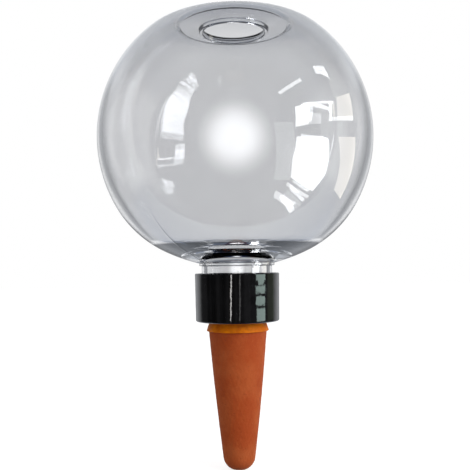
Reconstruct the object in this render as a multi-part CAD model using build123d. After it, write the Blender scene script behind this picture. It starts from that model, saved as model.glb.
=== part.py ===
"""Watering globe: a clear globe of water screwed onto a hollow clay cone that is pushed into the soil.

All sizes are in millimetres. The axis of the whole object is Z. The origin lies on that axis, level with
the underside of the collar, where the object meets the soil: the cone points down, the globe stands up.
"""
import math
import os

from build123d import *

# Globe: the outside of the shell. The radii of its other arcs are shares of the globe's own radius.
globe_radius = 75.0
crown_shoulder_share = 0.452
crown_shoulder_from_deg = 41.0
crest_share = 0.052
crest_from_deg = 12.0
dish_slope_deg = 32.0
dish_depth = 1.1
dish_fall = 0.9
dish_foot_round = 1.5
lower_shoulder_share = 0.8
lower_shoulder_from_deg = 120.0
floor_share = 1.267
floor_from_deg = 154.0

# Globe: its cavity, which leaves a wall that thins towards the crown, and a thick, nearly flat floor
waist_wall = 3.4
crown_wall = 1.4
floor_shoulder_from_deg = 140.0
floor_shoulder_share = 0.293
floor_slope_deg = 12.0
crest_cavity_round = 0.5
dish_cavity_round = 1.5
foot_cavity_round = 4.5

# Globe: the filler hole in its crown and the lip that is turned down round it
filler_radius = 17.0
lip_height = 3.5
lip_wall = 2.2
lip_edge_round = 0.5
lip_root_round = 0.5

# Globe: the neck at its foot
neck_radius = 19.25
neck_bore_radius = 16.6
neck_length = 19.4
neck_edge_round = 0.6
bead_radius = 20.6
bead_height = 1.4
bead_edge_round = 0.55

# Thread that the neck and the collar share: right hand, one start
thread_pitch = 4.2
thread_turns = 1.5
thread_start_deg = 20.0
thread_clearance = 0.3
neck_thread_lead_in = 1.6
neck_thread_height = 1.3
neck_thread_root_width = 2.2
neck_thread_crest_width = 1.0
collar_thread_height = 1.25
collar_thread_root_width = 1.7
collar_thread_crest_width = 0.8
thread_root_bite = 0.4

# Collar
collar_radius = 23.05
collar_foot_radius = 22.75
collar_height = 26.0
collar_bore_radius = 21.0
collar_shoulder = 2.6
collar_hole_radius = 16.5
collar_top_round = 0.5
collar_foot_round = 0.9
collar_mouth_chamfer = 0.6

# Clay cone
cone_reach = 80.0
cone_shoulder_radius = 15.75
cone_shoulder_height = 2.6
cone_neck_radius = 14.2
cone_tip_radius = 7.85
cone_tip_round = 7.4
cone_side_bow = 0.45
cone_flange_radius = 18.9
cone_flange = 5.0
cone_flange_round = 0.8
cone_bore_radius = 10.8
cone_bore_taper_from = 12.0
cone_bore_end_radius = 4.4
cone_bore_end_wall = 5.0
cone_bore_edge_round = 1.0

# Rubber sleeve round the neck of the cone
sleeve_fit = 0.1
sleeve_radius = 15.6
sleeve_flange = 1.8
sleeve_skirt = 5.2
sleeve_skirt_radius = 17.0
sleeve_skirt_straight = 0.8
sleeve_rim_round = 0.25

# Rubber washer under the end of the neck
washer_thickness = 2.0
washer_radius = 20.6
washer_bore_radius = 15.6

# Heights that follow from the stack inside the collar, from its shoulder up to the end of the neck
sleeve_flange_z = collar_shoulder
cone_flange_z = sleeve_flange_z + sleeve_flange
washer_z = cone_flange_z + cone_flange
neck_end_z = washer_z + washer_thickness
bead_z = neck_end_z + neck_length


def section_point(radius, height):
    """Point of the half section: its distance from the axis and its height."""
    return Vector(radius, 0, height)


def polar_point(centre, radius, angle_deg):
    """Point on an arc of the half section, its angle counted from straight up towards the outside."""
    angle = math.radians(angle_deg)
    return centre + section_point(radius * math.sin(angle), radius * math.cos(angle))


def next_centre(centre, radius, new_radius, angle_deg):
    """Centre of an arc that goes on smoothly from another at an angle, with a new radius."""
    return polar_point(centre, radius - new_radius, angle_deg)


def angle_at(centre, radius, distance):
    """Angle at which the lower part of an arc of the half section is a given distance from the axis."""
    return 180 - math.degrees(math.asin((distance - centre.X) / radius))


def arc(centre, radius, start_deg, end_deg):
    """Arc of the half section between two angles counted from straight up."""
    middle_deg = (start_deg + end_deg) / 2
    return ThreePointArc(*(polar_point(centre, radius, a) for a in (start_deg, middle_deg, end_deg)))


def rounded(section, corners):
    """Rounds corners of a section, each given as its point and its radius."""
    for point, radius in corners:
        vertex = min(section.vertices(), key=lambda v: (Vector(v) - point).length)
        section = section.fillet_2d(radius, [vertex])
    return section


def turned(edges, corners=()):
    """Solid of revolution about the axis from the closed outline of its half section."""
    section = rounded(make_face(edges).face(), corners)
    return revolve(section, Axis.Z).solid()


def thread_ridge(root_radius, crest_radius, root_width, crest_width, start_z):
    """Ridge of the thread: a trapezium carried up a right-hand helix, its flanks run on into its wall."""
    height = abs(crest_radius - root_radius)
    outwards = (crest_radius - root_radius) / height
    bite_radius = root_radius - outwards * thread_root_bite
    bite_width = root_width + (root_width - crest_width) * thread_root_bite / height
    path = Pos(0, 0, start_z) * Helix(thread_pitch, thread_pitch * thread_turns, root_radius)
    outline = Polyline(
        section_point(bite_radius, start_z - bite_width / 2),
        section_point(crest_radius, start_z - crest_width / 2),
        section_point(crest_radius, start_z + crest_width / 2),
        section_point(bite_radius, start_z + bite_width / 2),
        close=True,
    )
    return Rot(0, 0, thread_start_deg) * sweep(make_face(outline), path, is_frenet=True).solid()


# Ridges of the two threads. Rotating one in the other moves it along its own helix, so the gap between
# their flanks, set here where the two overlap, is the same over the whole travel.
neck_thread_radius = neck_radius + neck_thread_height
collar_thread_radius = collar_bore_radius - collar_thread_height
neck_ridge_z = neck_end_z + neck_thread_lead_in
neck_flank_share = (collar_thread_radius - neck_radius) / neck_thread_height
neck_thread_narrowing = neck_thread_root_width - neck_thread_crest_width
neck_ridge_width = neck_thread_root_width - neck_flank_share * neck_thread_narrowing
collar_ridge_z = neck_ridge_z + (neck_ridge_width + collar_thread_crest_width) / 2 + thread_clearance


def make_globe():
    """Clear shell: dished crown with a filler hole, thick floor, and a beaded and threaded neck."""
    crown_shoulder_radius = globe_radius * crown_shoulder_share
    crest_radius = globe_radius * crest_share
    lower_shoulder_radius = globe_radius * lower_shoulder_share
    floor_radius = globe_radius * floor_share
    floor_shoulder_radius = globe_radius * floor_shoulder_share

    origin = section_point(0, 0)
    shoulder = next_centre(origin, globe_radius, crown_shoulder_radius, crown_shoulder_from_deg)
    crest = next_centre(shoulder, crown_shoulder_radius, crest_radius, crest_from_deg)
    belly = next_centre(origin, globe_radius, lower_shoulder_radius, lower_shoulder_from_deg)
    floor = next_centre(belly, lower_shoulder_radius, floor_radius, floor_from_deg)
    floor_end_deg = angle_at(floor, floor_radius, bead_radius)
    floor_end = polar_point(floor, floor_radius, floor_end_deg)

    # The bead hangs at the end of the floor, and the stack in the collar sets its height
    centre_z = bead_z + bead_height / 2 - floor_end.Z
    bead_foot = floor_end.Z - bead_height
    neck_foot = neck_end_z - centre_z

    dish_top = polar_point(crest, crest_radius, -dish_slope_deg)
    dish_run = dish_depth / math.tan(math.radians(dish_slope_deg))
    dish_foot = dish_top - section_point(dish_run, dish_depth)
    dish_edge = section_point(filler_radius, dish_foot.Z - dish_fall)
    lip_foot = dish_edge.Z - lip_height
    lip_root = section_point(filler_radius + lip_wall, dish_edge.Z - crown_wall)

    # The cavity's arcs lie inside those of the outside, raised until the crown's wall is as thin as it is
    cavity = section_point(0, waist_wall - crown_wall)
    waist_radius = globe_radius - waist_wall
    cavity_shoulder = shoulder + cavity
    cavity_shoulder_radius = crown_shoulder_radius - waist_wall
    cavity_crest = polar_point(cavity_shoulder, cavity_shoulder_radius, crest_from_deg)
    dish_inset = crown_wall * math.tan(math.radians(dish_slope_deg / 2))
    dish_under = dish_foot + section_point(dish_inset, -crown_wall)
    floor_shoulder = next_centre(cavity, waist_radius, floor_shoulder_radius, floor_shoulder_from_deg)
    floor_edge_deg = 180 + floor_slope_deg
    floor_edge = polar_point(floor_shoulder, floor_shoulder_radius, floor_edge_deg)
    floor_fall = (floor_edge.X - neck_bore_radius) * math.tan(math.radians(floor_slope_deg))
    cavity_foot = section_point(neck_bore_radius, floor_edge.Z - floor_fall)

    outline = [
        arc(crest, crest_radius, -dish_slope_deg, crest_from_deg),
        arc(shoulder, crown_shoulder_radius, crest_from_deg, crown_shoulder_from_deg),
        arc(origin, globe_radius, crown_shoulder_from_deg, lower_shoulder_from_deg),
        arc(belly, lower_shoulder_radius, lower_shoulder_from_deg, floor_from_deg),
        arc(floor, floor_radius, floor_from_deg, floor_end_deg),
        Polyline(
            floor_end,
            section_point(bead_radius, bead_foot),
            section_point(neck_radius, bead_foot),
            section_point(neck_radius, neck_foot),
            section_point(neck_bore_radius, neck_foot),
            cavity_foot,
            floor_edge,
        ),
        arc(floor_shoulder, floor_shoulder_radius, floor_edge_deg, floor_shoulder_from_deg),
        arc(cavity, waist_radius, floor_shoulder_from_deg, crown_shoulder_from_deg),
        arc(cavity_shoulder, cavity_shoulder_radius, crown_shoulder_from_deg, crest_from_deg),
        Polyline(
            cavity_crest,
            dish_under,
            lip_root,
            section_point(filler_radius + lip_wall, lip_foot),
            section_point(filler_radius, lip_foot),
            dish_edge,
            dish_foot,
            dish_top,
        ),
    ]
    corners = [
        (dish_foot, dish_foot_round),
        (dish_edge, lip_edge_round),
        (section_point(filler_radius, lip_foot), lip_edge_round),
        (section_point(filler_radius + lip_wall, lip_foot), lip_edge_round),
        (lip_root, lip_root_round),
        (dish_under, dish_cavity_round),
        (cavity_crest, crest_cavity_round),
        (cavity_foot, foot_cavity_round),
        (section_point(bead_radius, bead_foot), bead_edge_round),
        (section_point(neck_radius, neck_foot), neck_edge_round),
        (section_point(neck_bore_radius, neck_foot), neck_edge_round),
    ]
    shell = Pos(0, 0, centre_z) * turned(outline, corners)
    ridge = thread_ridge(
        neck_radius, neck_thread_radius, neck_thread_root_width, neck_thread_crest_width, neck_ridge_z
    )
    return shell + ridge


def make_collar():
    """Black screw collar: a drafted tube with a thread inside and a shoulder round the hole in its foot."""
    foot_hole = section_point(collar_hole_radius, 0)
    foot_edge = section_point(collar_foot_radius, 0)
    top_edge = section_point(collar_radius, collar_height)
    outline = Polyline(
        foot_hole,
        foot_edge,
        top_edge,
        section_point(collar_bore_radius + collar_mouth_chamfer, collar_height),
        section_point(collar_bore_radius, collar_height - collar_mouth_chamfer),
        section_point(collar_bore_radius, collar_shoulder),
        section_point(collar_hole_radius, collar_shoulder),
        close=True,
    )
    tube = turned(outline, [(foot_edge, collar_foot_round), (top_edge, collar_top_round)])
    ridge = thread_ridge(
        collar_bore_radius,
        collar_thread_radius,
        collar_thread_root_width,
        collar_thread_crest_width,
        collar_ridge_z,
    )
    return tube + ridge


def make_clay_cone():
    """Hollow clay stake: a slightly bowed cone, a narrower neck, and the flange that the collar clamps."""
    tip_z = -cone_reach
    shoulder_z = -sleeve_skirt
    neck_z = shoulder_z + cone_shoulder_height
    top_z = cone_flange_z + cone_flange
    side_foot = section_point(cone_tip_radius, tip_z)
    side_top = section_point(cone_shoulder_radius, shoulder_z)
    side = side_top - side_foot
    side_middle = side_foot + side / 2 + section_point(side.Z, -side.X).normalized() * cone_side_bow
    flange_foot = section_point(cone_flange_radius, cone_flange_z)
    flange_top = section_point(cone_flange_radius, top_z)
    bore_top = section_point(cone_bore_radius, top_z)
    bore_end_z = tip_z + cone_bore_end_wall + cone_bore_end_radius
    bore_end = section_point(0, bore_end_z)
    outline = [
        Line(section_point(0, tip_z), side_foot),
        ThreePointArc(side_foot, side_middle, side_top),
        Polyline(
            side_top,
            section_point(cone_neck_radius, neck_z),
            section_point(cone_neck_radius, cone_flange_z),
            flange_foot,
            flange_top,
            bore_top,
            section_point(cone_bore_radius, -cone_bore_taper_from),
            polar_point(bore_end, cone_bore_end_radius, 90),
        ),
        arc(bore_end, cone_bore_end_radius, 90, 180),
        Line(polar_point(bore_end, cone_bore_end_radius, 180), section_point(0, tip_z)),
    ]
    corners = [
        (side_foot, cone_tip_round),
        (flange_foot, cone_flange_round),
        (flange_top, cone_flange_round),
        (bore_top, cone_bore_edge_round),
    ]
    return turned(outline, corners)


def make_cone_sleeve():
    """Rubber sleeve: a flange, a tube round the neck of the cone, and a skirt flared over its shoulder."""
    inner_radius = cone_neck_radius + sleeve_fit
    flange_radius = cone_flange_radius
    top_z = cone_flange_z
    skirt_z = -sleeve_skirt
    inner_shoulder_z = skirt_z + cone_shoulder_height
    rim_inner = section_point(cone_shoulder_radius + sleeve_fit, skirt_z)
    rim_outer = section_point(sleeve_skirt_radius, skirt_z)
    outline = Polyline(
        section_point(inner_radius, top_z),
        section_point(flange_radius, top_z),
        section_point(flange_radius, sleeve_flange_z),
        section_point(sleeve_radius, sleeve_flange_z),
        section_point(sleeve_radius, -sleeve_skirt_straight),
        rim_outer,
        rim_inner,
        section_point(inner_radius, inner_shoulder_z),
        close=True,
    )
    return turned(outline, [(rim_outer, sleeve_rim_round)])


def make_neck_washer():
    """Flat rubber ring clamped between the end of the neck and the flange of the cone."""
    ring = Cylinder(washer_radius, washer_thickness, align=(Align.CENTER, Align.CENTER, Align.MIN))
    bore = Cylinder(washer_bore_radius, washer_thickness, align=(Align.CENTER, Align.CENTER, Align.MIN))
    return Pos(0, 0, washer_z) * (ring - bore)


os.makedirs("parts", exist_ok=True)
pieces = {
    "globe": make_globe(),
    "neck_washer": make_neck_washer(),
    "collar": make_collar(),
    "cone_sleeve": make_cone_sleeve(),
    "clay_cone": make_clay_cone(),
}
for name, piece in pieces.items():
    export_step(piece, f"parts/{name}.step")
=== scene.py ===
"""Looks of a watering globe: a clear globe for water that a black collar screws onto a hollow clay cone.

Every piece is a surface turned about the Z axis, worked out in metres on a grid of profile points by
azimuths. Azimuth 0 is +X, the camera stands on -Y, and heights count from the underside of the collar.
"""
import math

import bpy
import numpy as np
from mathutils import Matrix


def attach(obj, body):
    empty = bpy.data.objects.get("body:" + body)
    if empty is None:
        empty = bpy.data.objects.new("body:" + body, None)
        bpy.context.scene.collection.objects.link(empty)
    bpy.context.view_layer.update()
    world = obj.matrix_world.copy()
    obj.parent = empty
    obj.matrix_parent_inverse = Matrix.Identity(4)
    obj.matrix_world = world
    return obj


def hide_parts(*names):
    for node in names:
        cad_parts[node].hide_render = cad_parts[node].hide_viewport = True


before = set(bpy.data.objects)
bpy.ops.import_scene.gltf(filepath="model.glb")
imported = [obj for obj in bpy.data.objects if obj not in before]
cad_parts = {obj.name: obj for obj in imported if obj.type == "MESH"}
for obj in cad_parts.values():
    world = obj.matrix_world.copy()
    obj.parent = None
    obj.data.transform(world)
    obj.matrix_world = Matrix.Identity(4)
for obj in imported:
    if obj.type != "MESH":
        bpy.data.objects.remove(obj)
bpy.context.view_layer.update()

# Camera. It stands level with the bead at the globe's foot and looks slightly up. The object leans a
# touch to the left in the picture, so the camera is rolled by as much.
mm = 0.001
camera_place = (-0.8 * mm, -374.0 * mm, 31.0 * mm)
camera_tilt_deg = 92.44
camera_roll_deg = -0.8
camera_sensor = 36.0
camera_lens = 52.13
camera = bpy.data.objects.new("camera", bpy.data.cameras.new("camera"))
camera.data.sensor_width = camera_sensor
camera.data.lens = camera_lens
camera.matrix_world = (
    Matrix.Translation(camera_place)
    @ Matrix.Rotation(math.radians(camera_tilt_deg), 4, "X")
    @ Matrix.Rotation(math.radians(camera_roll_deg), 4, "Z")
)
bpy.context.scene.collection.objects.link(camera)
bpy.context.scene.camera = camera
bpy.context.scene.view_settings.view_transform = "Standard"


# Surroundings. White behind the object, and a room with a tall window at the right on the camera's side.
# The window is made of bright cards that only gloss and glass see, and one soft lamp gives its light to
# the object. Gloss and glass see the white round the object and not the floor, which keeps its shadow.
class Wire:
    """One output in a node tree. Arithmetic on wires adds Math nodes, and node() adds any other node."""

    def __init__(self, tree, socket=None):
        self.tree = tree
        self.socket = socket

    def node(self, kind, settings=None, sockets=None, out=0):
        """Adds a node: its settings first, then the values or links of its sockets. Gives one output."""
        made = self.tree.nodes.new(kind)
        for name, value in (settings or {}).items():
            setattr(made, name, value)
        for name, value in (sockets or {}).items():
            if isinstance(value, Wire):
                self.tree.links.new(value.socket, made.inputs[name])
            else:
                made.inputs[name].default_value = value
        return Wire(self.tree, made.outputs[out] if made.outputs else None)

    def maths(self, operation, *values):
        """Adds a Math node on one value or more."""
        return self.node("ShaderNodeMath", {"operation": operation}, dict(enumerate(values)))

    def __add__(self, other):
        return self.maths("ADD", self, other)

    def __sub__(self, other):
        return self.maths("SUBTRACT", self, other)

    def __rsub__(self, other):
        return self.maths("SUBTRACT", other, self)

    def __mul__(self, other):
        return self.maths("MULTIPLY", self, other)

    __radd__ = __add__
    __rmul__ = __mul__

    def feed(self, target, name):
        """Links the wire to an input of the node that another wire comes from."""
        self.tree.links.new(self.socket, target.socket.node.inputs[name])

    def spread(self, low, high):
        """0 at low, 1 at high, smooth between them and level outside, also where low is the larger one."""
        sockets = {"Value": self, "From Min": low, "From Max": high}
        return self.node("ShaderNodeMapRange", {"interpolation_type": "SMOOTHSTEP"}, sockets)

    def blend(self, low, high):
        """Colour low where the wire is 0 and colour high where it is 1."""
        sockets = {0: self, 6: low if isinstance(low, Wire) else (*low, 1)}
        sockets[7] = high if isinstance(high, Wire) else (*high, 1)
        return self.node("ShaderNodeMix", {"data_type": "RGBA"}, sockets, 2)

    def noise(self, across, detail=3.0, roughness=0.5, stretch=(1, 1, 1)):
        """Noise on the piece's own coordinates whose spots are about a given length across."""
        place = self.node("ShaderNodeTexCoord", out="Object")
        sockets = {"Vector": place, "Scale": [share / across for share in stretch]}
        sockets = {
            "Vector": place.node("ShaderNodeMapping", {}, sockets),
            "Scale": 1.0,
            "Detail": detail,
            "Roughness": roughness,
        }
        return self.node("ShaderNodeTexNoise", {}, sockets)


def bare_tree(owner):
    """Empty node tree of a material or a world, as the wire that its nodes are added from."""
    owner.use_nodes = True
    owner.node_tree.nodes.clear()
    return Wire(owner.node_tree)


def path_ray(tree, kind):
    """1 for rays of one kind, such as those of the camera, and 0 for all others."""
    return tree.node("ShaderNodeLightPath", out=f"Is {kind} Ray")


room = bpy.data.worlds.new("room")
bpy.context.scene.world = room
tree = bare_tree(room)
towards = tree.node("ShaderNodeTexCoord", out="Generated")
away = towards.node("ShaderNodeSeparateXYZ", {}, {0: towards}, "Y")
up = towards.node("ShaderNodeSeparateXYZ", {}, {0: towards}, "Z")
sideways = towards.node("ShaderNodeSeparateXYZ", {}, {0: towards}, "X")
aside = sideways.maths("ABSOLUTE", sideways)
behind = away.spread(-0.02, 0.03)
walls = towards.node("ShaderNodeMapping", {}, {"Vector": towards, "Scale": (3.0, 3.0, 0.8)})
walls = walls.node("ShaderNodeTexNoise", {}, {"Vector": walls, "Scale": 1.0, "Detail": 2.0})
walls = walls.spread(0.42, 0.62)

# What is seen straight through the glass: white, with dim strips at its sides and greys above and below.
# The strips are placed for the camera. Seen from a corner of the room, the globe has one right behind it
# and looks dark.
white = (1, 1, 1)
strip_grey = (0.25, 0.255, 0.27)
high_grey = (0.6, 0.63, 0.68)
ceiling_grey = (0.25, 0.27, 0.31)
low_grey = (0.62, 0.65, 0.7)
dim_strips = aside.spread(0.36, 0.5) * (1 - aside.spread(0.74, 0.92))
backdrop = dim_strips.blend(white, strip_grey)
backdrop = up.spread(0.28, 0.42).blend(backdrop, high_grey)
backdrop = up.spread(0.42, 0.6).blend(backdrop, ceiling_grey)
backdrop = (1 - up.spread(-0.7, -0.36)).blend(backdrop, low_grey)

# What is seen after a reflection inside the glass: bright walls at both sides of the room, a dim half on
# the camera's side, and dark blue on the ground
side_white = (1.8, 1.8, 1.8)
ground_blue = (0.05, 0.1, 0.22)
front_dark = (0.02, 0.02, 0.02)
front_grey = (0.2, 0.2, 0.21)
front_ground_blue = (0.035, 0.06, 0.13)
mirrored = aside.spread(0.74, 0.92).blend(backdrop, side_white)
mirrored = (1 - up.spread(-0.5, -0.36)).blend(mirrored, ground_blue)
room_front = walls.blend(front_dark, front_grey)
room_front = (1 - up.spread(-0.35, 0.1)).blend(room_front, front_ground_blue)
mirrored = behind.blend(room_front, mirrored)
reflected = tree.node("ShaderNodeLightPath", out="Glossy Depth").spread(0.4, 0.6)
through_glass = reflected.blend(backdrop, mirrored)

# What gloss shows: dim at the sides, bright at the back but grey straight behind, and bluish white below
gloss_side = (0.1, 0.1, 0.105)
gloss_bright = (0.9, 0.92, 0.95)
gloss_straight_behind = (0.35, 0.36, 0.38)
gloss_ground = (0.95, 1.02, 1.14)
gloss_front_dark = (0.01, 0.01, 0.01)
gloss_front_grey = (0.1, 0.1, 0.105)
straight_behind = away.spread(0.85, 0.97) * (1 - up.spread(0.3, 0.6))
gloss_back = away.spread(0.35, 0.62).blend(gloss_side, gloss_bright)
gloss_back = straight_behind.blend(gloss_back, gloss_straight_behind)
gloss_back = (1 - up.spread(-0.75, -0.12)).blend(gloss_back, gloss_ground)
gloss_front = walls.blend(gloss_front_dark, gloss_front_grey)
room_in_gloss = behind.blend(gloss_front, gloss_back)

room_light = (0.62, 0.62, 0.62)
sky = path_ray(tree, "Camera").blend(room_light, white)
sky = path_ray(tree, "Glossy").blend(sky, room_in_gloss)
sky = path_ray(tree, "Transmission").blend(sky, through_glass)
background = tree.node("ShaderNodeBackground", {}, {"Color": sky, "Strength": 1.0})
tree.node("ShaderNodeOutputWorld", {}, {"Surface": background})

floor_z = -80.2 * mm
floor_reach = 3.0
floor_grey = (0.42, 0.42, 0.42)
floor_glow = 0.8
corners = [(x * floor_reach, y * floor_reach, floor_z) for x, y in ((-1, -1), (1, -1), (1, 1), (-1, 1))]
floor_mesh = bpy.data.meshes.new("floor")
floor_mesh.from_pydata(corners, [], [(0, 1, 2, 3)])
floor = bpy.data.objects.new("floor", floor_mesh)
bpy.context.scene.collection.objects.link(floor)
floor_finish = bpy.data.materials.new("floor")
tree = bare_tree(floor_finish)
matt = tree.node("ShaderNodeBsdfDiffuse", {}, {"Color": (*floor_grey, 1)})
glow = tree.node("ShaderNodeEmission", {}, {"Strength": floor_glow})
lit_floor = tree.node("ShaderNodeAddShader", {}, {0: matt, 1: glow})
white_floor = tree.node("ShaderNodeMixShader", {}, {0: path_ray(tree, "Camera"), 1: matt, 2: lit_floor})
tree.node("ShaderNodeOutputMaterial", {}, {"Surface": white_floor})
floor_mesh.materials.append(floor_finish)
floor.visible_glossy = False
floor.visible_transmission = False

lamp_place = np.array([0.85, -0.62, 0.5])
lamp_width, lamp_height = 0.5, 0.7
lamp_power = 9.0
lamp_colour = (1.0, 0.98, 0.95)
lamp_round = math.atan2(lamp_place[0], -lamp_place[1])
lamp_down = math.atan2(math.hypot(lamp_place[0], lamp_place[1]), lamp_place[2])
lamp = bpy.data.objects.new("window_light", bpy.data.lights.new("window_light", "AREA"))
lamp.data.shape = "RECTANGLE"
lamp.data.size = lamp_width
lamp.data.size_y = lamp_height
lamp.data.energy = lamp_power
lamp.data.color = lamp_colour
lamp.matrix_world = (
    Matrix.Translation(lamp_place)
    @ Matrix.Rotation(lamp_round, 4, "Z")
    @ Matrix.Rotation(lamp_down, 4, "X")
)
bpy.context.scene.collection.objects.link(lamp)
lamp.visible_glossy = False
lamp.visible_transmission = False

# Each card is a polygon on a sphere round the middle of the globe. A corner is given by its azimuth from
# the camera's side towards the right and by its elevation, in degrees. The globe mirrors the window
# upright in its front, which the gloss cards draw, and upside down in its back, for the glass cards.
# They are placed for the camera too: from behind, the glass cards show through the globe as white shapes.
card_middle = np.array([0.0, 0.0, 99.7 * mm])
card_distance = 1.0
sky_white = (0.96, 0.98, 1.0)
cream = (1.0, 0.93, 0.8)
gloss_cards = {
    "main_pane": (
        13.0,
        sky_white,
        [
            *[(47.1, -5.2), (69.9, -2.1), (76.2, -3.5), (80.0, -13.5)],
            *[(82.6, -23.4), (79.0, -35.6), (50.8, -33.5), (46.4, -21.7)],
        ],
    ),
    "upper_pane": (13.0, sky_white, [(45.8, 14.3), (58.6, 18.2), (56.8, 3.8), (45.5, 0.7)]),
    "upper_strip": (9.0, sky_white, [(58.6, 18.2), (78.3, 16.0), (78.5, 13.2), (58.0, 15.6)]),
    "upper_patch": (4.0, sky_white, [(57.3, 11.6), (68.1, 11.2), (67.6, 5.0), (56.8, 3.8)]),
    "bar": (9.0, sky_white, [(78.3, 19.5), (81.4, 19.6), (78.1, 7.9), (75.2, 7.6)]),
    "sill": (6.0, sky_white, [(77.9, 10.2), (105.3, 12.9), (104.5, 10.6), (77.6, 7.9)]),
    "upper_shutter": (3.5, cream, [(87.9, 21.9), (107.9, 23.4), (105.3, 12.9), (84.2, 9.7)]),
    "lower_shutter": (
        3.5,
        cream,
        [(85.4, -0.1), (107.0, 3.6), (112.6, -10.4), (117.6, -23.5), (102.1, -25.6)],
    ),
    "upper_slit": (9.0, sky_white, [(33.8, 24.5), (57.0, 34.3), (57.7, 32.2), (35.0, 22.3)]),
    "lower_strip": (7.0, sky_white, [(49.9, -37.0), (79.8, -39.0), (80.3, -41.1), (49.3, -39.4)]),
    "low_pane": (7.0, sky_white, [(41.8, -44.7), (73.5, -47.8), (76.2, -53.9), (42.5, -50.2)]),
    "side_haze": (1.6, sky_white, [(28.6, 2.9), (43.4, 3.9), (50.9, -35.3), (35.8, -37.9)]),
}
glass_cards = {
    "back_main": (
        13.0,
        sky_white,
        [
            *[(82.1, -40.9), (59.7, -40.3), (54.6, -30.9), (55.2, -15.1)],
            *[(52.2, -6.7), (78.1, -6.0), (81.9, -21.5), (84.1, -28.0)],
        ],
    ),
    "back_edge": (
        8.0,
        sky_white,
        [(86.4, -34.5), (85.5, -34.8), (83.8, -20.7), (83.3, -2.6), (84.4, -2.8), (85.4, -20.1)],
    ),
    "back_strip": (14.0, sky_white, [(86.6, -44.4), (85.2, -46.3), (61.1, -45.8), (58.5, -42.0)]),
    "back_bar": (
        14.0,
        sky_white,
        [(86.6, -51.6), (85.7, -55.3), (55.5, -52.9), (58.7, -49.5), (77.5, -51.1)],
    ),
    "back_bar_haze": (3.0, sky_white, [(87.3, -46.8), (86.3, -51.3), (58.9, -49.2), (60.1, -46.2)]),
    "back_low_pane": (16.0, sky_white, [(61.4, 2.6), (51.5, 0.4), (52.8, 14.0), (63.7, 15.3)]),
    "back_line": (14.0, sky_white, [(85.0, 15.1), (63.0, 13.1), (63.8, 15.4), (85.1, 16.5)]),
    "back_shutter": (6.0, cream, [(84.5, 6.4), (82.6, 6.9), (82.7, 15.8), (85.5, 15.1)]),
    "back_slit": (18.0, sky_white, [(90.0, 29.0), (81.3, 32.7), (76.6, 33.0), (77.3, 38.2), (91.0, 36.0)]),
}


def direction(azimuth_deg, elevation_deg):
    """Unit vector of a direction counted from the camera's side towards the right, and up."""
    azimuth, elevation = np.radians([azimuth_deg, elevation_deg])
    level = np.cos(elevation)
    return np.array([np.sin(azimuth) * level, -np.cos(azimuth) * level, np.sin(elevation)])


def light_card(name, strength, colour, places, faces, lit, on_gloss=True, in_glass=True):
    """Clear card that shines on gloss, through glass or both, and only on the pieces of one collection.
    Neither the camera nor the shadows see it. Gives its tree and its shine, both as wires."""
    mesh = bpy.data.meshes.new(name)
    mesh.from_pydata(places, [], faces)
    card = bpy.data.objects.new(name, mesh)
    bpy.context.scene.collection.objects.link(card)
    finish = bpy.data.materials.new(name)
    tree = bare_tree(finish)
    shine = tree.node("ShaderNodeEmission", {}, {"Color": (*colour, 1), "Strength": strength})
    clear = tree.node("ShaderNodeAddShader", {}, {0: shine, 1: tree.node("ShaderNodeBsdfTransparent")})
    tree.node("ShaderNodeOutputMaterial", {}, {"Surface": clear})
    mesh.materials.append(finish)
    card.light_linking.receiver_collection = lit
    card.visible_camera = False
    card.visible_diffuse = False
    card.visible_shadow = False
    card.visible_glossy = on_gloss
    card.visible_transmission = in_glass
    return tree, shine


window_side = bpy.data.collections.new("window_side")
for cards, on_gloss in ((gloss_cards, True), (glass_cards, False)):
    for name, (strength, colour, corners) in cards.items():
        places = [card_middle + card_distance * direction(*corner) for corner in corners]
        faces = [range(len(places))]
        light_card(name, strength, colour, places, faces, window_side, on_gloss, not on_gloss)

# A soft round glow in the middle of the globe, full near its own middle and faded out at its edge
glow_strength = 4.5
glow_centre_deg = np.array([0, -10])
glow_reach_deg = 32
glow_corners = 32
glow_full, glow_gone = 0.2, 0.54
turn = np.linspace(0, 2 * math.pi, glow_corners, endpoint=False)
corners = glow_centre_deg + glow_reach_deg * np.column_stack([np.cos(turn), np.sin(turn)])
places = [card_middle + card_distance * direction(*corner) for corner in corners]
faces = [range(glow_corners)]
glow_place = tuple(card_middle + card_distance * direction(*glow_centre_deg))
tree, shine = light_card("front_glow", glow_strength, white, places, faces, window_side)
spot = tree.node("ShaderNodeTexCoord", out="Object")
spot = spot.node("ShaderNodeVectorMath", {"operation": "DISTANCE"}, {0: spot, 1: glow_place}, 1)
halo = 1 - spot.spread(glow_full, glow_gone)
halo.blend((0, 0, 0), white).feed(shine, "Color")

# The collar has a ring of cards of its own, close round it: the window's four panes, a dim green beside
# them and two thin lines of light. A card of the ring is given by its azimuths at its foot, those at its
# head, and its two heights in millimetres.
collar_side = bpy.data.collections.new("collar_side")
ring_radius = 58.8 * mm
ring_step_deg = 6
pane_shine = (5.5, (0.78, 1.0, 0.93))
ring_cards = {
    "ring_pane_top": (*pane_shine, (41.7, 67.0), (41.7, 67.0), (21.0, 25.5)),
    "ring_pane_low": (*pane_shine, (48.5, 60.0), (46.0, 65.0), (18.1, 21.0)),
    "ring_pane_2": (*pane_shine, (40.8, 66.0), (40.6, 66.4), (13.9, 17.4)),
    "ring_pane_3": (*pane_shine, (41.0, 65.4), (41.8, 66.0), (6.8, 11.8)),
    "ring_pane_4": (*pane_shine, (42.6, 65.2), (42.8, 65.8), (-2.6, 5.0)),
    "ring_light": (12.0, (1, 0.97, 0.95), (-16.0, -13.8), (-13.6, -11.4), (-3.0, 26.0)),
    "ring_line": (1.5, white, (3.6, 5.9), (4.9, 7.2), (-3.0, 26.0)),
    "ring_green": (0.22, (0.8, 1.0, 0.6), (72.0, 98.0), (73.2, 100.0), (-3.0, 26.0)),
}
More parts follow.
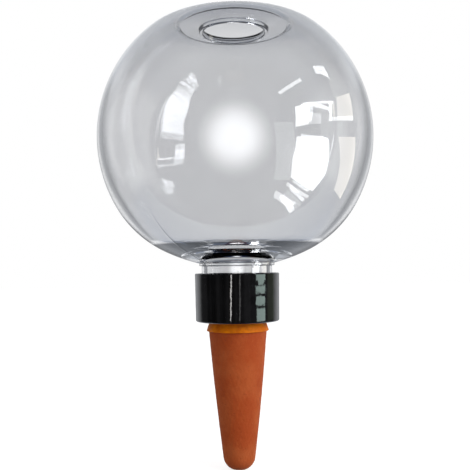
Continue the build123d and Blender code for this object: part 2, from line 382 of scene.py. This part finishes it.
for name, (strength, colour, foot, head, heights) in ring_cards.items():
    steps = 2 + int((foot[1] - foot[0]) / ring_step_deg)
    azimuth = np.radians(np.concatenate([np.linspace(*foot, steps), np.linspace(*head, steps)]))
    places = np.column_stack(
        [ring_radius * np.sin(azimuth), -ring_radius * np.cos(azimuth), np.repeat(heights, steps) * mm]
    )
    faces = [(i, i + 1, steps + i + 1, steps + i) for i in range(steps - 1)]
    light_card(name, strength, colour, places, faces, collar_side, True, False)


# Clay cone. Thrown and fired unglazed, so water seeps through its wall: a slightly bowed stake with a
# rounded tip, a narrower neck for the rubber, and a flange that the collar clamps.
bend_step_deg = 9
held_share = 0.2
same_place = 0.001 * mm


def line(start, end, count=2):
    """Points at equal steps along a straight line of a half section."""
    return np.linspace(start, end, count)


def arc(centre, radius, start_deg, end_deg, step_deg=2.0):
    """Arc of a half section: centre plus radius times (sine, cosine) of an angle from straight up."""
    count = max(3, math.ceil(abs(end_deg - start_deg) / step_deg) + 1)
    angle = np.radians(np.linspace(start_deg, end_deg, count))
    return np.asarray(centre) + radius * np.column_stack([np.sin(angle), np.cos(angle)])


def cut(path, length):
    """Path without its first stretch of a given length, and the unit direction at the cut."""
    steps = np.diff(path, axis=0)
    far = np.concatenate([[0], np.cumsum(np.hypot(*steps.T))])
    at = np.searchsorted(far, length, "right")
    start = path[at - 1] + steps[at - 1] * (length - far[at - 1]) / (far[at] - far[at - 1])
    return np.vstack([start, path[at:]]), steps[at - 1] / np.hypot(*steps[at - 1])


def rounded(before, after, radius):
    """Rounds the corner of two paths: each is cut back by radius times the tangent of half the turn. A
    conic whose weight is the cosine of half the turn joins the cuts, steered by the point where their
    tangents meet."""
    ahead = after[1] - after[0]
    behind = before[-1] - before[-2]
    turn = math.atan2(abs(behind[0] * ahead[1] - behind[1] * ahead[0]), behind @ ahead)
    back = radius * math.tan(turn / 2)
    steps = max(4, math.ceil(math.degrees(turn) / bend_step_deg))
    before, away = cut(before[::-1], back)
    after, onward = cut(after, back)
    before = before[::-1]
    reach = np.linalg.solve(np.column_stack([-away, onward]), after[0] - before[-1])
    steer = before[-1] - away * reach[0]
    share = np.linspace(0, 1, steps + 1)[:, None]
    weight = math.cos(turn / 2)
    parts = ((1 - share) ** 2, 2 * weight * share * (1 - share), share**2)
    bend = (parts[0] * before[-1] + parts[1] * steer + parts[2] * after[0]) / sum(parts)
    # A ring close to each end of the bend keeps the shading of the flats beside it level
    held = radius * held_share
    hold_before = before[-1] + away * min(held, np.hypot(*(before[-2] - before[-1])) / 2)
    hold_after = after[0] + onward * min(held, np.hypot(*(after[1] - after[0])) / 2)
    before = np.vstack([before[:-1], hold_before])
    after = np.vstack([hold_after, after[1:]])
    return before, bend, after


def section(*edges):
    """Half section from paths laid end to end, anticlockwise. Each comes with the rounding of the corner
    between its end and the next path, or 0 for none, and the last path is followed by the first."""
    lines = [path for path, _ in edges]
    bends = []
    for i, (_, radius) in enumerate(edges):
        after = (i + 1) % len(lines)
        bend = lines[i][:0]
        if radius:
            lines[i], bend, lines[after] = rounded(lines[i], lines[after], radius)
        bends.append(bend)
    path = np.vstack([part for pair in zip(lines, bends) for part in pair])
    kept = np.hypot(*(path - np.roll(path, 1, 0)).T) > same_place
    return path[kept]


def turned(name, profile, azimuth_deg, relief=0.0, closed=True):
    """Surface of revolution: profile point i, moved by relief[i, j] along the profile's own normal, at
    azimuth j. An open profile starts and ends on the axis, where a fan of triangles closes each pole."""
    if closed:
        along = np.roll(profile, -1, 0) - np.roll(profile, 1, 0)
    else:
        along = np.gradient(profile, axis=0)
    normal = np.column_stack([along[:, 1], -along[:, 0]]) / np.hypot(*along.T)[:, None]
    azimuth = np.radians(azimuth_deg)[None, :]
    radius = profile[:, :1] + normal[:, :1] * relief
    height = profile[:, 1:] + normal[:, 1:] * relief + 0 * azimuth
    grid = np.stack([radius * np.cos(azimuth), radius * np.sin(azimuth), height], -1)
    poles = (grid[:0, 0], grid[:0, 0])
    if not closed:
        poles = (grid[:1, 0], grid[-1:, 0])
        grid = grid[1:-1]
    rows, columns = grid.shape[:2]
    points = np.vstack([poles[0], grid.reshape(-1, 3), poles[1]])
    place = len(poles[0]) + np.arange(rows * columns).reshape(rows, columns)
    across = np.roll(place, -1, 1)
    quads = np.stack([place, across, np.roll(across, -1, 0), np.roll(place, -1, 0)], -1)
    if closed:
        faces = quads.reshape(-1, 4).tolist()
    else:
        first, last = np.zeros(columns, int), np.full(columns, len(points) - 1)
        faces = quads[:-1].reshape(-1, 4).tolist()
        faces += np.stack([first, across[0], place[0]], -1).tolist()
        faces += np.stack([place[-1], across[-1], last], -1).tolist()
    mesh = bpy.data.meshes.new(name)
    mesh.from_pydata(points, [], faces)
    mesh.shade_smooth()
    piece = bpy.data.objects.new(name, mesh)
    bpy.context.scene.collection.objects.link(piece)
    return piece


def ripples(height, azimuth_deg, count, round_waves, along_waves, seed):
    """Uneven surface between -1 and 1 or so: a sum of cosines, each with a whole number of waves round the
    axis, its own number of waves a metre along it and its own start, all random."""
    draw = np.random.default_rng(seed)
    angle = np.radians(azimuth_deg)[None, :]
    along = 2 * np.pi * height[:, None]
    total = 0.0
    for _ in range(count):
        turns = draw.integers(round_waves[0], round_waves[1] + 1)
        slope = draw.uniform(*along_waves) * draw.choice([-1, 1])
        total = total + np.cos(turns * angle + slope * along + draw.uniform(0, 2 * np.pi))
    return total / math.sqrt(count)


cone_reach = 80.0 * mm
cone_shoulder_radius = 15.75 * mm
cone_shoulder_height = 2.6 * mm
cone_neck_radius = 14.2 * mm
cone_tip_radius = 7.85 * mm
cone_tip_round = 7.4 * mm
cone_side_bow = 0.45 * mm
cone_flange_z = 4.4 * mm
cone_flange_radius = 18.9 * mm
cone_flange = 5.0 * mm
cone_bore_radius = 10.8 * mm
cone_bore_taper_from = 12.0 * mm
cone_bore_end_radius = 4.4 * mm
cone_bore_end_wall = 5.0 * mm
sleeve_skirt = 5.2 * mm
clay_edge_round = 0.8 * mm
clay_edge_step = 0.5 * mm
clay_neck_round = 0.3 * mm
clay_side_rows = 170
clay_unevenness = 0.07 * mm
clay_broad_ripples = (14, (1, 4), (2, 25), 11)
clay_fine_ripples = (40, (6, 40), (40, 260), 12)
clay_ripple_shares = (0.6, 0.5)
clay_pits = 150
clay_pits_seed = 13
clay_pit_depth = 0.22 * mm
clay_pit_depth_shares = (0.3, 1)
clay_pit_sizes = (0.35, 0.9)
clay_relief_fade = 1.0 * mm
clay_smooth_pole = 4 * mm

shoulder_z = -sleeve_skirt
cone_neck_z = shoulder_z + cone_shoulder_height
cone_top_z = cone_flange_z + cone_flange
bore_end_z = -cone_reach + cone_bore_end_wall + cone_bore_end_radius
side = line((cone_tip_radius, -cone_reach), (cone_shoulder_radius, shoulder_z), clay_side_rows)
side_share = np.linspace(0, 1, clay_side_rows)
side[:, 0] += 4 * cone_side_bow * side_share * (1 - side_share)
clay_profile = section(
    (line((0, -cone_reach), (cone_tip_radius, -cone_reach), 12), cone_tip_round),
    (side, clay_edge_step),
    (line((cone_shoulder_radius, shoulder_z), (cone_neck_radius, cone_neck_z), 6), clay_neck_round),
    (line((cone_neck_radius, cone_neck_z), (cone_neck_radius, cone_flange_z)), clay_neck_round),
    (line((cone_neck_radius, cone_flange_z), (cone_flange_radius, cone_flange_z)), clay_edge_round),
    (line((cone_flange_radius, cone_flange_z), (cone_flange_radius, cone_top_z)), clay_edge_round),
    (line((cone_flange_radius, cone_top_z), (cone_bore_radius, cone_top_z)), clay_edge_round),
    (line((cone_bore_radius, cone_top_z), (cone_bore_radius, -cone_bore_taper_from)), 0),
    (line((cone_bore_radius, -cone_bore_taper_from), (cone_bore_end_radius, bore_end_z)), 0),
    (arc((0, bore_end_z), cone_bore_end_radius, 90, 180, 15), 0),
)
clay_profile = np.vstack([[0, -cone_reach], clay_profile, [0, bore_end_z - cone_bore_end_radius]])
clay_columns = np.linspace(0, 360, 232, endpoint=False)
radius, height = clay_profile[:, 0], clay_profile[:, 1]
# The relief covers the outside below the shoulder, and fades out at the pole of the tip
outside = np.clip((shoulder_z - height) / clay_relief_fade, 0, 1)
outside = outside * (np.arange(len(height)) < np.argmax(height))
outside = (outside * np.clip(radius / clay_smooth_pole, 0, 1))[:, None]
clay_relief = clay_unevenness * (
    clay_ripple_shares[0] * ripples(height, clay_columns, *clay_broad_ripples)
    + clay_ripple_shares[1] * ripples(height, clay_columns, *clay_fine_ripples)
)
draw = np.random.default_rng(clay_pits_seed)
for _ in range(clay_pits):
    pit_z, pit_azimuth = draw.uniform(-cone_reach, shoulder_z), draw.uniform(0, 360)
    pit_size, pit_share = draw.uniform(*clay_pit_sizes) * mm, draw.uniform(*clay_pit_depth_shares)
    turn_deg = (clay_columns - pit_azimuth + 180) % 360 - 180
    apart = (radius[:, None] * np.radians(turn_deg)) ** 2 + (height[:, None] - pit_z) ** 2
    clay_relief = clay_relief - clay_pit_depth * pit_share * np.exp(-apart / pit_size**2)
clay_cone = turned("clay_stake", clay_profile, clay_columns, clay_relief * outside, closed=False)

terracotta = bpy.data.materials.new("terracotta")
tree = bare_tree(terracotta)
clay_red = (0.38, 0.058, 0.008)
clay_pale = (0.45, 0.092, 0.02)
clay_dark = (0.25, 0.04, 0.01)
clay_dust = (0.50, 0.14, 0.04)
clay_bloom = (1.0, 0.66, 0.42)
clay_dusty_length = 20 * mm
clay_blotch_size = 16 * mm
clay_grain_size = 0.9 * mm
clay_speck_size = 1.6 * mm
clay_roughening = 0.25 * mm
blotches = tree.noise(clay_blotch_size, 4.0, 0.6)
grain = tree.noise(clay_grain_size, 4.0, 0.7)
specks = tree.noise(clay_speck_size, 2.0, 0.5)
along = tree.node("ShaderNodeSeparateXYZ", {}, {0: tree.node("ShaderNodeTexCoord", out="Object")}, "Z")
tip = 1 - along.spread(-cone_reach, -cone_reach + clay_dusty_length)
colour = blotches.spread(0.35, 0.65).blend(clay_red, clay_pale)
colour = (grain.spread(0.42, 0.3) * 0.6).blend(colour, clay_dark)
colour = (grain.spread(0.58, 0.72) * 0.5).blend(colour, clay_dust)
colour = (specks.spread(0.34, 0.28) * 0.45).blend(colour, clay_dark)
colour = (tip * (0.1 + 0.4 * blotches)).blend(colour, clay_dust)
skin = grain * 0.7 + specks * 0.5
bump = tree.node("ShaderNodeBump", {}, {"Height": skin, "Strength": 0.6, "Distance": clay_roughening})
clay = tree.node(
    "ShaderNodeBsdfPrincipled",
    {},
    {
        "Base Color": colour,
        "Roughness": 0.82 + 0.12 * grain,
        "Normal": bump,
        "Specular IOR Level": 0.2,
        "Sheen Weight": 0.18,
        "Sheen Roughness": 0.4,
        "Sheen Tint": (*clay_bloom, 1),
    },
)
tree.node("ShaderNodeOutputMaterial", {}, {"Surface": clay})
clay_cone.data.materials.append(terracotta)
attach(clay_cone, "stake")
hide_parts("clay_cone")
window_side.objects.link(clay_cone)

# Rubber sleeve. Soft orange rubber pushed up the neck of the cone: its flange seals against the collar's
# shoulder, and its skirt flares over the shoulder of the clay.
sleeve_inner_radius = 14.3 * mm
sleeve_radius = 15.6 * mm
sleeve_flange_z = 2.6 * mm
sleeve_skirt_radius = 17.0 * mm
sleeve_rim_inner_radius = 15.85 * mm
sleeve_skirt_straight = 0.8 * mm
sleeve_rim_rounds = (0.15 * mm, 0.25 * mm)
sleeve_skirt_round = 1.5 * mm
sleeve_collar_round = 0.3 * mm
sleeve_edge_round = 0.2 * mm
sleeve_waviness = 0.05 * mm
sleeve_ripples = (8, (2, 9), (0, 20), 21)
inner_rim = (sleeve_rim_inner_radius, -sleeve_skirt)
outer_rim = (sleeve_skirt_radius, -sleeve_skirt)
skirt_top = (sleeve_radius, -sleeve_skirt_straight)
sleeve_profile = section(
    (line((sleeve_inner_radius, cone_neck_z), inner_rim, 6), sleeve_rim_rounds[0]),
    (line(inner_rim, outer_rim, 3), sleeve_rim_rounds[1]),
    (line(outer_rim, skirt_top, 16), sleeve_skirt_round),
    (line(skirt_top, (sleeve_radius, sleeve_flange_z), 8), sleeve_collar_round),
    (line((sleeve_radius, sleeve_flange_z), (cone_flange_radius, sleeve_flange_z)), sleeve_edge_round),
    (line((cone_flange_radius, sleeve_flange_z), (cone_flange_radius, cone_flange_z)), sleeve_edge_round),
    (line((cone_flange_radius, cone_flange_z), (sleeve_inner_radius, cone_flange_z)), sleeve_edge_round),
    (line((sleeve_inner_radius, cone_flange_z), (sleeve_inner_radius, cone_neck_z)), sleeve_edge_round),
)
sleeve_columns = np.linspace(0, 360, 200, endpoint=False)
skirt_share = np.clip(-sleeve_profile[:, 1] / sleeve_skirt, 0, 1)[:, None]
waves = ripples(sleeve_profile[:, 1], sleeve_columns, *sleeve_ripples)
sleeve_relief = sleeve_waviness * skirt_share * waves
sleeve = turned("rubber_sleeve", sleeve_profile, sleeve_columns, sleeve_relief)

orange_rubber = bpy.data.materials.new("orange_rubber")
tree = bare_tree(orange_rubber)
sleeve_amber = (0.62, 0.138, 0.001)
sleeve_pale = (0.82, 0.22, 0.0015)
sleeve_stain_size = 5 * mm
sleeve_film_size = 0.6 * mm
sleeve_roughening = 0.05 * mm
sleeve_glow_depth = 1.2 * mm
stain = tree.noise(sleeve_stain_size, 3.0, 0.6)
film = tree.noise(sleeve_film_size, 3.0, 0.6)
colour = stain.spread(0.3, 0.7).blend(sleeve_amber, sleeve_pale)
bump = tree.node("ShaderNodeBump", {}, {"Height": film, "Strength": 0.25, "Distance": sleeve_roughening})
rubber = tree.node(
    "ShaderNodeBsdfPrincipled",
    {},
    {
        "Base Color": colour,
        "Roughness": 0.38 + 0.18 * film,
        "Normal": bump,
        "Subsurface Weight": 0.1,
        "Specular IOR Level": 0.06,
        "Subsurface Radius": (1.0, 0.35, 0.08),
        "Subsurface Scale": sleeve_glow_depth,
    },
)
tree.node("ShaderNodeOutputMaterial", {}, {"Surface": rubber})
sleeve.data.materials.append(orange_rubber)
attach(sleeve, "stake")
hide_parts("cone_sleeve")
window_side.objects.link(sleeve)

# Screw collar. Moulded in glossy black plastic: a slightly drafted tube, a shoulder round the hole in its
# foot, and one and a half turns of thread on its bore.
collar_foot_radius = 22.75 * mm
collar_radius = 23.05 * mm
collar_height = 26.0 * mm
collar_bore_radius = 21.0 * mm
collar_hole_radius = 16.5 * mm
collar_mouth_chamfer = 0.6 * mm
thread_pitch = 4.2 * mm
thread_turns = 1.5
thread_start_deg = 20.0
run_out_share = 0.03
collar_ridge_z = 14.569 * mm
collar_ridge_height = 1.25 * mm
collar_ridge_widths = (1.7 * mm, 0.8 * mm)
collar_foot_round = 0.9 * mm
collar_top_round = 0.5 * mm
collar_edge_round = 0.15 * mm
collar_shoulder_round = 0.2 * mm
collar_waviness = 0.016 * mm
collar_ripples = (12, (2, 9), (20, 180), 31)
on_surface = 0.01 * mm


def thread_ridge(height, azimuth_deg, start_z, ridge_height, widths):
    """Height of a right-hand helical ridge above its wall: full over its crest, sloping to nothing at its
    root, with its middle at start plus pitch times the turns made, and run out over a small share of a
    turn at both ends."""
    root, crest = widths
    ridge = 0.0
    for lap in range(math.ceil(thread_turns)):
        turns = ((azimuth_deg - thread_start_deg) % 360 / 360)[None, :] + lap
        apart = np.abs(height[:, None] - start_z - thread_pitch * turns)
        flank = np.clip((root / 2 - apart) / (root / 2 - crest / 2), 0, 1)
        starts = np.clip(turns / run_out_share, 0, 1)
        ends = np.clip((thread_turns - turns) / run_out_share, 0, 1)
        ridge = np.maximum(ridge, flank * (starts * ends))
    return ridge * ridge_height


mouth_edge = (collar_bore_radius + collar_mouth_chamfer, collar_height)
bore_top = (collar_bore_radius, collar_height - collar_mouth_chamfer)
bore_foot = (collar_bore_radius, sleeve_flange_z)
collar_shoulder_edge = (collar_hole_radius, sleeve_flange_z)
collar_profile = section(
    (line((collar_hole_radius, 0), (collar_foot_radius, 0), 4), collar_foot_round),
    (line((collar_foot_radius, 0), (collar_radius, collar_height), 40), collar_top_round),
    (line((collar_radius, collar_height), mouth_edge), collar_edge_round),
    (line(mouth_edge, bore_top), collar_edge_round),
    (line(bore_top, bore_foot, 90), collar_shoulder_round),
    (line(bore_foot, collar_shoulder_edge, 4), collar_edge_round),
    (line(collar_shoulder_edge, (collar_hole_radius, 0), 3), collar_edge_round),
)
collar_columns = np.linspace(0, 360, 240, endpoint=False)
radius, height = collar_profile[:, 0], collar_profile[:, 1]
on_bore = (np.abs(radius - collar_bore_radius) < on_surface)[:, None]
on_wall = (radius > collar_foot_radius - on_surface)[:, None]
ridge = thread_ridge(height, collar_columns, collar_ridge_z, collar_ridge_height, collar_ridge_widths)
waves = ripples(height, collar_columns, *collar_ripples)
collar_relief = on_bore * ridge + on_wall * collar_waviness * waves
collar = turned("screw_collar", collar_profile, collar_columns, collar_relief)

black_plastic = bpy.data.materials.new("black_plastic")
tree = bare_tree(black_plastic)
collar_black = (0.0045, 0.0045, 0.005)
collar_worn = (0.008, 0.008, 0.009)
collar_skin_size = 2.5 * mm
collar_handling_size = 9 * mm
collar_roughening = 0.14 * mm
skin = tree.noise(collar_skin_size, 2.0, 0.5)
handling = tree.noise(collar_handling_size, 4.0, 0.65)
colour = handling.spread(0.4, 0.7).blend(collar_black, collar_worn)
bump = tree.node("ShaderNodeBump", {}, {"Height": skin, "Strength": 0.25, "Distance": collar_roughening})
plastic = tree.node(
    "ShaderNodeBsdfPrincipled",
    {},
    {
        "Base Color": colour,
        "Roughness": 0.06 + 0.1 * handling.spread(0.5, 0.8),
        "Normal": bump,
        "IOR": 1.5,
    },
)
tree.node("ShaderNodeOutputMaterial", {}, {"Surface": plastic})
collar.data.materials.append(black_plastic)
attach(collar, "collar")
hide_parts("collar")
collar_side.objects.link(collar)

# Neck washer. A flat ring cut from a sheet of black rubber. It lies on the flange of the clay, and the
# end of the globe's neck presses it down there.
washer_bore_radius = 15.6 * mm
washer_radius = 20.6 * mm
washer_edge_round = 0.2 * mm
neck_end_z = 11.4 * mm
washer_profile = section(
    (line((washer_bore_radius, cone_top_z), (washer_radius, cone_top_z), 4), washer_edge_round),
    (line((washer_radius, cone_top_z), (washer_radius, neck_end_z), 3), washer_edge_round),
    (line((washer_radius, neck_end_z), (washer_bore_radius, neck_end_z), 4), washer_edge_round),
    (line((washer_bore_radius, neck_end_z), (washer_bore_radius, cone_top_z), 3), washer_edge_round),
)
washer = turned("rubber_washer", washer_profile, np.linspace(0, 360, 120, endpoint=False))

black_rubber = bpy.data.materials.new("black_rubber")
tree = bare_tree(black_rubber)
washer_black = (0.018, 0.018, 0.018)
washer_grey = (0.04, 0.04, 0.042)
washer_crumb_size = 0.8 * mm
washer_bloom_size = 5 * mm
washer_roughening = 0.05 * mm
crumb = tree.noise(washer_crumb_size, 3.0, 0.6)
bloom = tree.noise(washer_bloom_size, 3.0, 0.6)
colour = bloom.spread(0.4, 0.75).blend(washer_black, washer_grey)
bump = tree.node("ShaderNodeBump", {}, {"Height": crumb, "Strength": 0.4, "Distance": washer_roughening})
rubber = tree.node(
    "ShaderNodeBsdfPrincipled",
    {},
    {"Base Color": colour, "Roughness": 0.6 + 0.2 * crumb, "Normal": bump},
)
tree.node("ShaderNodeOutputMaterial", {}, {"Surface": rubber})
washer.data.materials.append(black_rubber)
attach(washer, "stake")
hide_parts("neck_washer")
collar_side.objects.link(washer)

# Globe. Blown in a two-part mould from clear, faintly grey plastic: one shell whose wall thins towards the
# dished crown, where the filler hole's lip is turned down, and gathers into a thick floor round the neck
# with its bead and thread. The mould's halves leave a fine ridge at their joint.
globe_radius = 75.0 * mm
crown_shoulder_radius = 33.9 * mm
crown_shoulder_from_deg = 41.0
crest_radius = 3.9 * mm
crest_from_deg = 12.0
dish_slope_deg = 32.0
dish_depth = 1.1 * mm
dish_fall = 0.9 * mm
lower_shoulder_radius = 60.0 * mm
lower_shoulder_from_deg = 120.0
floor_radius = 95.025 * mm
floor_from_deg = 154.0
waist_wall = 3.4 * mm
crown_wall = 1.4 * mm
floor_shoulder_from_deg = 140.0
floor_shoulder_radius = 21.975 * mm
floor_slope_deg = 12.0
filler_radius = 17.0 * mm
lip_height = 3.5 * mm
lip_wall = 2.2 * mm
neck_radius = 19.25 * mm
neck_bore_radius = 16.6 * mm
bead_radius = 20.6 * mm
bead_height = 1.4 * mm
bead_z = 30.8 * mm
neck_ridge_z = 13.0 * mm
neck_ridge_height = 1.3 * mm
neck_ridge_widths = (2.2 * mm, 1.0 * mm)
neck_thread_reach = 9.2 * mm
neck_edge_round = 0.6 * mm
neck_root_round = 0.2 * mm
bead_edge_rounds = (0.55 * mm, 0.15 * mm)
dish_foot_round = 1.5 * mm
lip_round = 0.5 * mm
crest_cavity_round = 0.5 * mm
foot_cavity_round = 4.5 * mm


def on_arc(centre, radius, angle_deg):
    """Point of an arc at an angle counted from straight up towards the outside."""
    angle = math.radians(angle_deg)
    return np.asarray(centre) + radius * np.array([math.sin(angle), math.cos(angle)])


def next_centre(centre, radius, new_radius, angle_deg):
    """Centre of an arc that goes on smoothly from another one at an angle, with a new radius."""
    return on_arc(centre, radius - new_radius, angle_deg)


def where_at(centre, radius, distance):
    """Angle at which the lower part of an arc is a given distance from the axis."""
    return 180 - math.degrees(math.asin((distance - centre[0]) / radius))


shoulder = next_centre((0, 0), globe_radius, crown_shoulder_radius, crown_shoulder_from_deg)
crest = next_centre(shoulder, crown_shoulder_radius, crest_radius, crest_from_deg)
belly = next_centre((0, 0), globe_radius, lower_shoulder_radius, lower_shoulder_from_deg)
floor_centre = next_centre(belly, lower_shoulder_radius, floor_radius, floor_from_deg)
floor_end_deg = where_at(floor_centre, floor_radius, bead_radius)
floor_end = on_arc(floor_centre, floor_radius, floor_end_deg)
globe_z = bead_z + bead_height / 2 - floor_end[1]
bead_foot = floor_end[1] - bead_height
neck_foot = neck_end_z - globe_z
dish_top = on_arc(crest, crest_radius, -dish_slope_deg)
dish_foot = dish_top - np.array([dish_depth / math.tan(math.radians(dish_slope_deg)), dish_depth])
dish_edge = np.array([filler_radius, dish_foot[1] - dish_fall])
lip_foot = dish_edge[1] - lip_height
lip_outer = filler_radius + lip_wall
lip_root = np.array([lip_outer, dish_edge[1] - crown_wall])
cavity = np.array([0, waist_wall - crown_wall])
waist_radius = globe_radius - waist_wall
cavity_shoulder_radius = crown_shoulder_radius - waist_wall
cavity_crest = on_arc(shoulder + cavity, cavity_shoulder_radius, crest_from_deg)
dish_under = dish_foot + crown_wall * np.array([math.tan(math.radians(dish_slope_deg / 2)), -1])
floor_shoulder = next_centre(cavity, waist_radius, floor_shoulder_radius, floor_shoulder_from_deg)
floor_edge_deg = 180 + floor_slope_deg
floor_edge = on_arc(floor_shoulder, floor_shoulder_radius, floor_edge_deg)
floor_fall = (floor_edge[0] - neck_bore_radius) * math.tan(math.radians(floor_slope_deg))
cavity_foot = np.array([neck_bore_radius, floor_edge[1] - floor_fall])
thread_top = neck_foot + neck_thread_reach

globe_profile = section(
    (line((neck_bore_radius, neck_foot), (neck_radius, neck_foot), 4), neck_edge_round),
    (line((neck_radius, neck_foot), (neck_radius, thread_top), 44), 0),
    (line((neck_radius, thread_top), (neck_radius, bead_foot), 8), neck_root_round),
    (line((neck_radius, bead_foot), (bead_radius, bead_foot), 3), bead_edge_rounds[0]),
    (line((bead_radius, bead_foot), floor_end, 3), bead_edge_rounds[1]),
    (arc(floor_centre, floor_radius, floor_end_deg, floor_from_deg, 1.0), 0),
    (arc(belly, lower_shoulder_radius, floor_from_deg, lower_shoulder_from_deg), 0),
    (arc((0, 0), globe_radius, lower_shoulder_from_deg, crown_shoulder_from_deg), 0),
    (arc(shoulder, crown_shoulder_radius, crown_shoulder_from_deg, crest_from_deg), 0),
    (arc(crest, crest_radius, crest_from_deg, -dish_slope_deg, 3.0), 0),
    (line(dish_top, dish_foot, 5), dish_foot_round),
    (line(dish_foot, dish_edge, 9), lip_round),
    (line(dish_edge, (filler_radius, lip_foot), 5), lip_round),
    (line((filler_radius, lip_foot), (lip_outer, lip_foot), 3), lip_round),
    (line((lip_outer, lip_foot), lip_root, 4), lip_round),
    (line(lip_root, dish_under, 9), dish_foot_round),
    (line(dish_under, cavity_crest, 6), crest_cavity_round),
    (arc(shoulder + cavity, cavity_shoulder_radius, crest_from_deg, crown_shoulder_from_deg), 0),
    (arc(cavity, waist_radius, crown_shoulder_from_deg, floor_shoulder_from_deg), 0),
    (arc(floor_shoulder, floor_shoulder_radius, floor_shoulder_from_deg, floor_edge_deg), 0),
    (line(floor_edge, cavity_foot, 8), foot_cavity_round),
    (line(cavity_foot, (neck_bore_radius, neck_foot), 12), neck_edge_round),
)
globe_profile = globe_profile + np.array([0, globe_z])

# The ridge of the mould's joint runs down both sides of the outer surface. It is faint below the crown
# and strongest near the foot.
mould_joint_deg = -132.5
joint_ridge = 0.12 * mm
joint_half_width = 0.25 * mm
joint_faint_share = 0.12
joint_strong_below = 62 * mm
joint_gone_above = 150 * mm
joint_fade = 20 * mm
near_joint_deg = np.array([-0.8, -0.5, -0.3, -0.15, 0, 0.15, 0.3, 0.5, 0.8])
joint_gap_deg = 1.0
globe_columns = np.linspace(0, 360, 208, endpoint=False)
for joint_deg in (mould_joint_deg % 360, (mould_joint_deg + 180) % 360):
    clear_of_joint = np.abs(globe_columns - joint_deg) > joint_gap_deg
    globe_columns = np.sort(np.concatenate([globe_columns[clear_of_joint], joint_deg + near_joint_deg]))
radius, height = globe_profile[:, 0], globe_profile[:, 1]
lip_row = np.argmin(np.abs(height - lip_foot - globe_z) + np.abs(radius - filler_radius))
outer_rows = np.arange(len(height)) < lip_row + 1
joint_strength = joint_faint_share * np.clip((joint_gone_above - height) / joint_fade, 0, 1)
joint_strength = joint_strength + np.clip((joint_strong_below - height) / joint_fade, 0, 1)
joint_strength = (outer_rows * joint_strength * joint_ridge)[:, None]
turn_deg = (globe_columns - mould_joint_deg + 90) % 180 - 90
beside = radius[:, None] * np.radians(turn_deg)
on_neck = (np.abs(radius - neck_radius) < on_surface)[:, None]
ridge = thread_ridge(height, globe_columns, neck_ridge_z, neck_ridge_height, neck_ridge_widths)
globe_relief = on_neck * ridge + joint_strength * np.exp(-((beside / joint_half_width) ** 2))
globe = turned("clear_globe", globe_profile, globe_columns, globe_relief)

clear_plastic = bpy.data.materials.new("clear_plastic")
tree = bare_tree(clear_plastic)
globe_grey = (0.77, 0.775, 0.787)
globe_clear = (0.785, 0.79, 0.80)
globe_tint_size = 60 * mm
globe_smear_size = 22 * mm
globe_smear_stretch = (1, 1, 0.4)
globe_flow_size = 30 * mm
globe_flow_depth = 0.3 * mm
tint = tree.noise(globe_tint_size, 2.0, 0.5)
smears = tree.noise(globe_smear_size, 4.0, 0.6, globe_smear_stretch)
flow = tree.noise(globe_flow_size, 1.0, 0.4)
colour = tint.spread(0.3, 0.7).blend(globe_grey, globe_clear)
bump = tree.node("ShaderNodeBump", {}, {"Height": flow, "Strength": 0.15, "Distance": globe_flow_depth})
plastic = tree.node(
    "ShaderNodeBsdfPrincipled",
    {},
    {
        "Base Color": colour,
        "Roughness": 0.03 * smears.spread(0.5, 0.75),
        "IOR": 1.5,
        "Transmission Weight": 1.0,
        "Normal": bump,
    },
)
tree.node("ShaderNodeOutputMaterial", {}, {"Surface": plastic})
globe.data.materials.append(clear_plastic)
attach(globe, "globe")
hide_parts("globe")
window_side.objects.link(globe)
